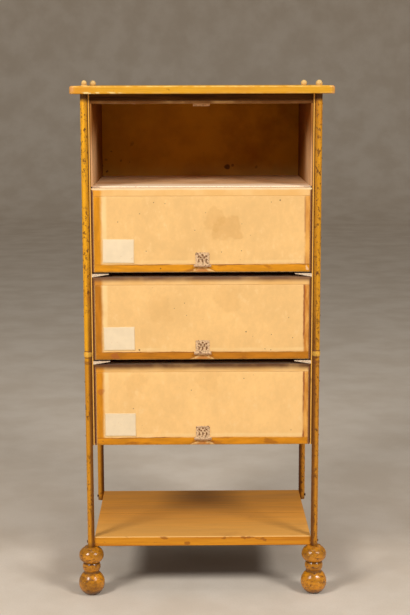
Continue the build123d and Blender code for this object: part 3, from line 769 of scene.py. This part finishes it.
def foot_margin(f, foot_edge, clouds, tone):
    """The ochre margin along a face's foot, rubbed in places, with a broken seam."""
    height = sizes().foot_margin
    long_grain = f.grain(120, (0.2, 1, 1), detail=5)
    foot = f.rise(foot_edge, height + 1.8 * MM, height - 0.9 * MM)
    f.over(f.mottled(long_grain, scaled(tone, 0.74), tone), foot)
    seam = f.near(foot_edge, height + 0.3 * MM, 0.2 * MM, 0.9 * MM)
    f.over(paint(138, 74, 18), f.both(seam, f.rise(clouds, 0.38, 0.58)))
    rubbed = f.both(f.rise(f.grain(55, (0.35, 1, 1), detail=6), 0.56, 0.64), foot)
    f.over(paint(150, 82, 16), rubbed, 0.55)


def worn_rims(f, across, up):
    """Paler rims at a face's left end and foot, a faint crease along its top, and specks."""
    rim = f.calc("MINIMUM", f.warped(across, 200, 0.5 * MM), f.warped(up, 200, 0.5 * MM))
    f.over(paint(246, 196, 112), f.rise(rim, 1.2 * MM, 0.4 * MM), 0.65)
    crease = f.near(f.warped(up, 30, 0.5 * MM), FACE_HEIGHT - 1.2 * MM, 0.3 * MM, 0.9 * MM)
    f.over(paint(196, 134, 66), crease, 0.15)
    specks = f.both(f.rise(f.cells(70), 0.08, 0.04), f.rise(f.grain(11), 0.48, 0.54))
    f.over(paint(96, 54, 26), specks, 0.8)


def worn_scoop(f, across, up):
    """The pale worn patch under a flap's pull, from fingers, and painted shade behind the pull."""
    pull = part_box("flap_2_pull")
    middle = (pull[0].x + pull[1].x) / 2 + FLAP_WIDTH / 2
    aside = f.calc("ABSOLUTE", f.calc("SUBTRACT", f.warped(across, 55, 5 * MM), middle))
    reach = f.calc("MULTIPLY_ADD", f.warped(up, 90, 1.5 * MM), 1.7, aside)
    ragged = f.rise(f.grain(160, detail=5), 0.3, 0.55)
    patch = f.both(f.rise(reach, 26 * MM, 20 * MM), ragged)
    f.over(paint(242, 196, 128), patch, 0.85)
    rim = f.near(reach, 25 * MM, 0.6 * MM, 1.6 * MM)
    low = f.rise(up, 15 * MM, 12 * MM)
    f.over(paint(150, 84, 28), f.both(rim, low), 0.6)
    core = f.rise(reach, 19 * MM, 11 * MM)
    f.over(paint(196, 116, 40), core, 0.8)
    # painted shade: a dark patch on the paper behind the pull, seen through its holes
    behind = f.both(
        f.near(across, middle, 11 * MM, 2 * MM),
        f.near(f.warped(up, 90, 0.8 * MM), 22 * MM, 11 * MM, 2.5 * MM),
    )
    f.over(paint(112, 62, 26), behind, 0.9)


def label_finish():
    """Blank label paper, yellowed towards its edges."""
    s = sizes()
    f = Finish("label_paper", roughness=0.7)
    across = f.axis("X", f.flat)
    up = f.axis("Y", f.flat)
    fibres = f.grain(1100, detail=4)
    clouds = f.grain(60, detail=4)
    pale = tuple(colours().label)
    f.tone = f.mottled(clouds, scaled(pale, 0.93), pale)
    from_end = f.calc("MINIMUM", across, f.calc("SUBTRACT", s.label_width, across))
    from_foot = f.calc("MINIMUM", up, f.calc("SUBTRACT", s.label_height, up))
    inward = f.calc("MINIMUM", from_end, from_foot)
    edge = f.rise(f.warped(inward, 120, 0.8 * MM), 2.2 * MM, 0.2 * MM)
    f.over(paint(240, 196, 128), edge, 0.55)
    foxing = f.rise(f.grain(150, detail=3), 0.68, 0.76)
    f.over(paint(214, 158, 92), foxing, 0.4)
    f.relief(fibres, 0.05 * MM, 0.4)
    return f.done()


CLOTH_FOLDS = {
    # carton: the fold's colour, how strongly it shows, and how far it fades down the face
    # the dark folds of cartons 1, 3 and 4 are painted shade; carton 2's pale fold is wear
    1: (paint(104, 60, 20), 1.0, 9 * MM),
    2: (paint(244, 216, 172), 0.8, 2 * MM),
    3: (paint(116, 78, 54), 0.95, 9 * MM),
    4: (paint(98, 62, 36), 1.0, 11 * MM),
}


def cloth_finish(number):
    """Thin binding cloth, ochred at the left; over the fold worn pale on carton 2 and dark in
    painted shade on the others.
    """
    s = sizes()
    fold_tone, strength, fade = CLOTH_FOLDS[number]
    f = Finish(f"hinge_binding_cloth_{number}", roughness=0.85, gloss=0.15)
    across = f.axis("X", f.flat)
    along = f.axis("Y", f.flat)
    clouds = f.grain(20, detail=4)
    weave = f.both(f.threads(2400, "X"), f.threads(2400, "Y"))
    f.tone = f.mottled(clouds, paint(236, 182, 108), paint(244, 196, 128))
    f.over(paint(206, 148, 80), weave, 0.22)
    left = f.rise(f.warped(across, 20, 2 * MM), s.left_margin + 5 * MM, s.left_margin - 2 * MM)
    f.over(FACE_WEAR_AND_LIGHT[number][0], left, 0.85)
    fold = CLOTH_ON_FACE - 2 * MM
    past_face = f.rise(f.warped(along, 34, 1.4 * MM), fold - fade, fold)
    before_top = f.rise(f.warped(along, 30, 2 * MM), fold + 17 * MM, fold + 10 * MM)
    patchy = f.rise(f.grain(24, detail=3), -0.2, 0.6)
    # the fold's colour: worn pale on carton 2, painted shade on the others
    f.over(fold_tone, f.both(f.both(past_face, before_top), patchy), strength)
    hem = f.rise(f.warped(along, 60, 0.4 * MM), 1.3 * MM, 0.4 * MM)
    f.over(paint(190, 128, 62), f.both(hem, f.rise(clouds, 0.35, 0.6)), 0.4)
    f.relief(weave, 0.12 * MM, 0.6)
    f.shader.inputs["Sheen Weight"].default_value = 0.08
    return f.done()


# ------------------------------------------------------------- shape helpers
def pivot(number):
    """The place of a flap's hinge line."""
    return Vector(JOINTS[f"flap_{number}_hinge"]["pos_m"])


def stowed_angle():
    """How far the stowed flap is swung in, from its board's lean at rest."""
    low, high = SHUT_BOARD
    round_edge = (high.y - low.y) / 2
    reach = high.z - low.z - round_edge
    drop = pivot(1).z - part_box("flap_1_board")[0].z - round_edge
    return math.acos(max(-1.0, min(1.0, drop / reach)))


def hang(bm, number):
    """Swings a shut flap's piece to where its flap rests."""
    if number in STOWED:
        turn = Matrix.Rotation(stowed_angle(), 4, "X")
        at = Matrix.Translation(pivot(number))
        bmesh.ops.transform(bm, matrix=at @ turn @ at.inverted(), verts=bm.verts)


def piece(name, bm, material):
    """Turns a bmesh into a named, smooth object at the origin, with one finish."""
    mesh = bpy.data.meshes.new(name)
    for face in bm.faces:
        face.smooth = True
    bm.to_mesh(mesh)
    bm.free()
    mesh.materials.append(material)
    obj = bpy.data.objects.new(name, mesh)
    bpy.context.scene.collection.objects.link(obj)
    return obj


def paper(width, height, columns, rows):
    """A flat sheet in the XZ plane from the origin, facing -Y, with its own map."""
    bm = bmesh.new()
    bmesh.ops.create_grid(bm, x_segments=columns, y_segments=rows, size=0.5, calc_uvs=True)
    bmesh.ops.translate(bm, vec=(0.5, 0.5, 0), verts=bm.verts)
    bmesh.ops.scale(bm, vec=(width, height, 1), verts=bm.verts)
    upright = Matrix.Rotation(math.pi / 2, 3, "X")
    bmesh.ops.rotate(bm, cent=(0, 0, 0), matrix=upright, verts=bm.verts)
    layer = bm.loops.layers.uv.verify()
    for face in bm.faces:
        for loop in face.loops:
            loop[layer].uv = (loop.vert.co.x, loop.vert.co.z)
    return bm


def thicken(obj, thickness, offset=-1.0):
    """Gives a sheet its thickness, behind its face."""
    solid = obj.modifiers.new("thickness", "SOLIDIFY")
    solid.thickness = thickness
    solid.offset = offset


# -------------------------------------------------------------------- pieces
FACE_GRID = (150, 54)
FACE_RIM = 6 * MM  # where the paper lies flat at its edges
RAGGED_FOOT = 0.9 * MM
RAGGED_END = 0.5 * MM
LABEL_GRID = (28, 22)
LABEL_SHEET = 0.1 * MM
LABEL_TILT = {1: 0.0, 2: 0.6, 3: -0.5, 4: 0.2}  # degrees
LABEL_CUT = 0.3 * MM  # how far its edges stray
LABEL_RIPPLE = 0.05 * MM
CURLED_CORNER = 12 * MM
CORNER_LIFT = 0.7 * MM
CLOTH_COLUMNS = 120
CLOTH_FRAY = 0.25 * MM
CLOTH_BEND = 1 * MM  # radius of the fold over a carton's front edge
TINY = 0.1 * MM  # what is nearer than this to an edge lies on it


def wander(x, y, z, reach):
    """A smooth random amount of up to about reach, the same each time for one place."""
    return noise.noise(Vector((x, y, z))) * reach


def face_mesh(number):
    """A flap's face paper before it is thickened: cockled, with ragged ends and foot."""
    s = sizes()
    bm = paper(FLAP_WIDTH, FACE_HEIGHT, *FACE_GRID)
    for vert in bm.verts:
        x, z = vert.co.x, vert.co.z
        inset = min(x, FLAP_WIDTH - x, z, FACE_HEIGHT - z)
        swell = wander(x * 14, number * 7.3, z * 14, 0.5) + 0.5
        vert.co.y = -swell * s.cockle * min(1.0, inset / FACE_RIM)
        if z < TINY:
            vert.co.z += abs(wander(x * 160, number, 0, RAGGED_FOOT))
        inward = abs(wander(z * 160, number, 5, RAGGED_END))
        if x < TINY:
            vert.co.x += inward
        elif x > FLAP_WIDTH - TINY:
            vert.co.x -= inward
    place = (-FLAP_WIDTH / 2, SHUT_FACING[1].y - s.paper, FLAP_FEET[number])
    bmesh.ops.translate(bm, vec=place, verts=bm.verts)
    hang(bm, number)
    return bm


def make_faces():
    """The paper faces of the four flaps."""
    for number in FLAPS:
        bm, material = face_mesh(number), face_finish(number)
        obj = piece(f"flap_{number}_face_paper", bm, material)
        thicken(obj, sizes().paper)
        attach(obj, f"flap_{number}")
        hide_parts(f"flap_{number}_facing")


def label_mesh(number):
    """A label before it is thickened: rippled and cut by hand, one corner lifting."""
    s = sizes()
    bm = paper(s.label_width, s.label_height, *LABEL_GRID)
    for vert in bm.verts:
        x, z = vert.co.x, vert.co.z
        to_corner = Vector((x - s.label_width, z)).length
        curl = max(0.0, 1 - to_corner / CURLED_CORNER)
        ripple = wander(x * 60, number * 3.1, z * 60, LABEL_RIPPLE)
        vert.co.y = -LABEL_SHEET - ripple - CORNER_LIFT * curl * curl
        if min(x, s.label_width - x) < TINY:
            vert.co.x += wander(z * 240, number, 1, LABEL_CUT)
        if min(z, s.label_height - z) < TINY:
            vert.co.z += wander(x * 240, number, 2, LABEL_CUT)
    tilt = Matrix.Rotation(math.radians(LABEL_TILT[number]), 3, "Y")
    bmesh.ops.rotate(bm, cent=(0, 0, 0), matrix=tilt, verts=bm.verts)
    face = SHUT_FACING[1].y - s.paper - s.cockle
    place = (-FLAP_WIDTH / 2 + s.label_inset, face, FLAP_FEET[number] + s.label_lift)
    bmesh.ops.translate(bm, vec=place, verts=bm.verts)
    hang(bm, number)
    return bm


def make_labels():
    """A blank paper label near each flap's lower left corner."""
    material = label_finish()
    for number in FLAPS:
        obj = piece(f"flap_{number}_label", label_mesh(number), material)
        thicken(obj, LABEL_SHEET)
        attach(obj, f"flap_{number}")


def arc(middle, radius, turns):
    """Points around a middle in the YZ plane, at turns from +Y towards +Z."""
    return [(middle[0] + radius * math.cos(t), middle[1] + radius * math.sin(t)) for t in turns]


def steps(first, last, count):
    """Evenly spaced values after first, up to last."""
    return [first + (last - first) * i / count for i in range(1, count + 1)]


def cloth_path(number):
    """The hinge cloth's middle line from its hem on the flap's face, over the fold, to its
    rear hem on the carton's top, as (y, z, length so far), at the flap's rest angle."""
    half = sizes().cloth / 2
    top = CARTON_TOPS[number] - half
    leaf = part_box(f"carton_{number}_hinge_cloth")
    front, rear = leaf[0].y + half, leaf[1].y
    axis = pivot(number)
    swing = stowed_angle() if number in STOWED else 0.0
    tail = CLOTH_ON_FACE - (CARTON_TOPS[number] - axis.z)
    turn = Matrix.Rotation(swing, 2)
    on_face = [turn @ Vector((front - axis.y, -tail * (1 - i / 12))) for i in range(12)]
    points = [(axis.y + y, axis.z + z) for y, z in on_face]
    turns = [math.pi + swing] + (steps(math.pi + swing, math.pi, 8) if swing else [])
    points += arc(axis.yz, axis.y - front, turns)
    points += [(front, z) for z in steps(axis.z, top - CLOTH_BEND, 4)]
    bend = (front + CLOTH_BEND, top - CLOTH_BEND)
    points += arc(bend, CLOTH_BEND, steps(math.pi, math.pi / 2, 6))
    points += [(y, top) for y in steps(front + CLOTH_BEND, rear, 14)]
    path, run = [(*points[0], 0.0)], 0.0
    for before, after in zip(points, points[1:]):
        run += math.dist(before, after)
        path.append((*after, run))
    return path


def cloth_mesh(path, number, wide):
    """A strip along the hinge cloth's path, wider past the flap, with wavering hems. Its
    own map runs across in metres, and along by the length of the path."""
    last = len(path) - 1
    narrow = FLAP_WIDTH / 2
    bm = paper(1.0, 1.0, CLOTH_COLUMNS, last)
    flat = {}
    for vert in bm.verts:
        across, step = vert.co.x, round(vert.co.z * last)
        y, z, run = path[step]
        flat[vert] = (across * 2 * narrow, run)
        widened = min(1.0, max(0.0, (run - CLOTH_ON_FACE + 5 * MM) / (3 * MM)))
        half = narrow + (wide - narrow) * widened
        waver = wander(across * 90, number, step, CLOTH_FRAY)
        if step == 0:
            z -= abs(waver)
        elif step == last:
            y += waver
        vert.co = (-half + 2 * half * across, y, z)
    layer = bm.loops.layers.uv.verify()
    for face in bm.faces:
        for loop in face.loops:
            loop[layer].uv = flat[loop.vert]
    return bm


def make_hinge_cloths():
    """The four hinge cloths, each one strip from its flap over the fold to the top."""
    for number in FLAPS:
        carton, flap = f"carton_{number}", f"flap_{number}"
        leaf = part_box(f"{carton}_hinge_cloth")
        wide = leaf[1].x
        path = cloth_path(number)
        bm = cloth_mesh(path, number, wide)
        obj = piece(f"{carton}_binding_cloth", bm, cloth_finish(number))
        thicken(obj, sizes().cloth, 0.0)
        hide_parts(f"{carton}_hinge_cloth", f"{flap}_hinge_cloth")
        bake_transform(obj)


def make_stand():
    """Finishes of the posts, the feet, the buttons and the top board."""
    dress(top_finish(), "top_board")
    dress(button_finish(), *[f"finial_{c}" for c in CORNERS])
    posts = post_finish()
    dress(posts, *[f"post_lower_{c}" for c in CORNERS], *[f"post_upper_{c}" for c in CORNERS])
    dress(turned_finish(), *[f"foot_{c}" for c in CORNERS])


def make_case():
    """Finishes of the shelf, the case, the runners and the cartons' boards."""
    dress(shelf_finish(), "shelf_board_front", "shelf_board_rear")
    dress(case_finish(), "case_side_left", "case_side_right", "case_back", "case_bottom")
    dress(rail_finish(), "top_rail")
    dress(runner_finish(), "runners_left", "runners_right")
    # carton 1's edges: rubbed pale low down, darker near the top in painted shade
    rubbed = pasteboard_finish("rubbed_and_shaded_pasteboard", paint(206, 150, 100), paint(142, 86, 26))
    # the other cartons' edges: dark, painted shade
    shade_edged = pasteboard_finish("shade_edged_pasteboard", paint(92, 42, 20), paint(92, 42, 20))
    for number in FLAPS:
        board = rubbed if number in STOWED else shade_edged
        dress(board, f"carton_{number}_shell", f"flap_{number}_board")
    dress(lining_finish(), *[f"carton_{n}_lining" for n in FLAPS])


def make_fittings():
    """Finishes of the pulls, rivets, screws and pins."""
    metal = pull_finish()
    dress(metal, *[f"flap_{n}_pull" for n in FLAPS], *[f"flap_{n}_rivets" for n in FLAPS])
    dress(iron_finish(), "shelf_screws", "case_pins")


# --------------------------------------------------------------------- stage
CAMERA_PLACE = (-0.01871, -2.50549, 0.93463)
CAMERA_PITCH = math.radians(9.588)
CAMERA_YAW = math.radians(0.5825)
CAMERA_ROLL = math.radians(0.150)
CAMERA_LENS = 78.55
SENSOR = 36.0
SKY_LIGHT = 0.24  # how strongly the sky lights the object
SKY_SEEN = 0.4  # and how bright the camera sees it, past the floor's edge
SKY_TONE = (1.0, 0.97, 0.93, 1.0)
STAGE_HALF = 8.0  # far enough out for a camera on any side
WALL_HEIGHT = 6.0
WALL_BEND = 1.6  # radius between the floor and the wall
LAMPS = (
    # name, place, aim, size in metres and power in watts
    ("lamp_left", (-1.75, -1.9, 2.1), (0, 0, 0.45), 0.85, 51),
    ("lamp_right", (1.75, -1.9, 2.1), (0, 0, 0.45), 0.85, 45),
    ("lamp_over", (0.0, -0.3, 2.9), (0, 0, 0.5), 1.0, 7),
)


def make_camera():
    """The camera at the photograph's place and angle."""
    camera = bpy.data.objects.new("camera", bpy.data.cameras.new("camera"))
    bpy.context.scene.collection.objects.link(camera)
    camera.data.lens = CAMERA_LENS
    camera.data.sensor_width = SENSOR
    camera.data.sensor_fit = "AUTO"
    forward = Vector((
        math.sin(CAMERA_YAW) * math.cos(CAMERA_PITCH),
        math.cos(CAMERA_YAW) * math.cos(CAMERA_PITCH),
        -math.sin(CAMERA_PITCH),
    ))
    level = Vector((math.cos(CAMERA_YAW), -math.sin(CAMERA_YAW), 0))
    down = forward.cross(level)
    right = math.cos(CAMERA_ROLL) * level + math.sin(CAMERA_ROLL) * down
    down = -math.sin(CAMERA_ROLL) * level + math.cos(CAMERA_ROLL) * down
    turn = Matrix((right, -down, -forward)).transposed()
    camera.matrix_world = Matrix.Translation(CAMERA_PLACE) @ turn.to_4x4()
    bpy.context.scene.camera = camera


def make_lamp(name, place, aim, size, power):
    """A soft round lamp that points at its aim."""
    lamp = bpy.data.objects.new(name, bpy.data.lights.new(name, "AREA"))
    bpy.context.scene.collection.objects.link(lamp)
    lamp.data.shape = "DISK"
    lamp.data.size = size
    lamp.data.energy = power
    lamp.location = place
    lamp.rotation_mode = "QUATERNION"
    lamp.rotation_quaternion = (Vector(aim) - Vector(place)).to_track_quat("-Z", "Y")


def floor_finish():
    """Pale paper, faintly clouded."""
    f = Finish("stage_paper", roughness=0.9)
    clouds = f.grain(6, detail=4)
    weave = f.grain(300, detail=3)
    f.tone = f.mottled(clouds, paint(214, 198, 178), paint(226, 212, 194))
    f.over(paint(196, 184, 168), f.rise(weave, 0.4, 0.7), 0.2)
    return f.done()


def make_floor():
    """A pale floor that curves up into a wall behind the cabinet."""
    bm = bmesh.new()
    bmesh.ops.create_grid(bm, x_segments=1, y_segments=1, size=STAGE_HALF)
    bmesh.ops.scale(bm, vec=(2, 1, 1), verts=bm.verts)
    far = [e for e in bm.edges if all(v.co.y > 0 for v in e.verts)]
    grown = bmesh.ops.extrude_edge_only(bm, edges=far)
    lifted = [v for v in grown["geom"] if isinstance(v, bmesh.types.BMVert)]
    bmesh.ops.translate(bm, vec=(0, 0, WALL_HEIGHT), verts=lifted)
    corner = [e for e in bm.edges if all(v.co.z < TINY and v.co.y > 0 for v in e.verts)]
    bmesh.ops.bevel(
        bm, geom=corner, offset=WALL_BEND, segments=16, profile=0.5, affect="EDGES", material=-1
    )
    piece("stage_floor", bm, floor_finish())


def make_sky():
    """A soft warm sky, which the camera sees brighter than it lights."""
    world = bpy.data.worlds.new("soft_sky")
    world.use_nodes = True
    tree = world.node_tree
    sky = tree.nodes["Background"]
    sky.inputs["Color"].default_value = SKY_TONE
    seen = tree.nodes.new("ShaderNodeLightPath").outputs["Is Camera Ray"]
    strength = tree.nodes.new("ShaderNodeMath")
    strength.operation = "MULTIPLY_ADD"
    tree.links.new(seen, strength.inputs[0])
    strength.inputs[1].default_value = SKY_SEEN - SKY_LIGHT
    strength.inputs[2].default_value = SKY_LIGHT
    tree.links.new(strength.outputs[0], sky.inputs["Strength"])
    bpy.context.scene.world = world


def make_stage():
    """The floor and its wall, three soft lamps, the sky and the camera."""
    make_floor()
    for lamp in LAMPS:
        make_lamp(*lamp)
    make_sky()
    make_camera()
    bpy.context.scene.view_settings.view_transform = "Standard"


# ----------------------------------------------------------------- operators
class CABINET_OT_stage(bpy.types.Operator):
    """Makes the floor, the lamps, the sky and the camera"""

    bl_idname = "cabinet.stage"
    bl_label = "Stage"

    def execute(self, context):
        make_stage()
        return {"FINISHED"}


class CABINET_OT_stand(bpy.types.Operator):
    """Finishes the top board, the posts, the feet and the buttons"""

    bl_idname = "cabinet.stand"
    bl_label = "Stand"

    def execute(self, context):
        make_stand()
        return {"FINISHED"}


class CABINET_OT_case(bpy.types.Operator):
    """Finishes the shelf, the case, the runners and the cartons"""

    bl_idname = "cabinet.case"
    bl_label = "Case and cartons"

    def execute(self, context):
        make_case()
        return {"FINISHED"}


class CABINET_OT_fittings(bpy.types.Operator):
    """Finishes the pulls, the rivets, the screws and the pins"""

    bl_idname = "cabinet.fittings"
    bl_label = "Fittings"

    def execute(self, context):
        make_fittings()
        return {"FINISHED"}


class CABINET_OT_faces(bpy.types.Operator):
    """Makes the paper faces of the flaps"""

    bl_idname = "cabinet.faces"
    bl_label = "Flap faces"

    def execute(self, context):
        make_faces()
        return {"FINISHED"}


class CABINET_OT_labels(bpy.types.Operator):
    """Makes the blank labels of the flaps"""

    bl_idname = "cabinet.labels"
    bl_label = "Labels"

    def execute(self, context):
        make_labels()
        return {"FINISHED"}


class CABINET_OT_hinge_cloths(bpy.types.Operator):
    """Makes the hinge cloths between the cartons and their flaps"""

    bl_idname = "cabinet.hinge_cloths"
    bl_label = "Hinge cloths"

    def execute(self, context):
        make_hinge_cloths()
        return {"FINISHED"}


PIECES = (
    CABINET_OT_stage, CABINET_OT_stand, CABINET_OT_case, CABINET_OT_fittings,
    CABINET_OT_faces, CABINET_OT_labels, CABINET_OT_hinge_cloths,
)


class CABINET_PT_panel(bpy.types.Panel):
    """Lists the cabinet's settings and pieces"""

    bl_idname = "CABINET_PT_panel"
    bl_label = "Thread cabinet"
    bl_space_type = "VIEW_3D"
    bl_region_type = "UI"
    bl_category = "Cabinet"

    def draw(self, context):
        layout = self.layout
        for group in (context.scene.cabinet_sizes, context.scene.cabinet_colours):
            box = layout.box()
            for name in group.__annotations__:
                box.prop(group, name)
        for operator in PIECES:
            layout.operator(operator.bl_idname)


CLASSES = (CabinetSizes, CabinetColours, *PIECES, CABINET_PT_panel)


def register():
    for cls in CLASSES:
        bpy.utils.register_class(cls)
    bpy.types.Scene.cabinet_sizes = PointerProperty(type=CabinetSizes)
    bpy.types.Scene.cabinet_colours = PointerProperty(type=CabinetColours)


def unregister():
    del bpy.types.Scene.cabinet_colours
    del bpy.types.Scene.cabinet_sizes
    for cls in reversed(CLASSES):
        bpy.utils.unregister_class(cls)


def main():
    """Makes every piece."""
    register()
    bpy.ops.cabinet.stage()
    bpy.ops.cabinet.stand()
    bpy.ops.cabinet.case()
    bpy.ops.cabinet.fittings()
    bpy.ops.cabinet.faces()
    bpy.ops.cabinet.labels()
    bpy.ops.cabinet.hinge_cloths()


if __name__ == "__main__":
    main()
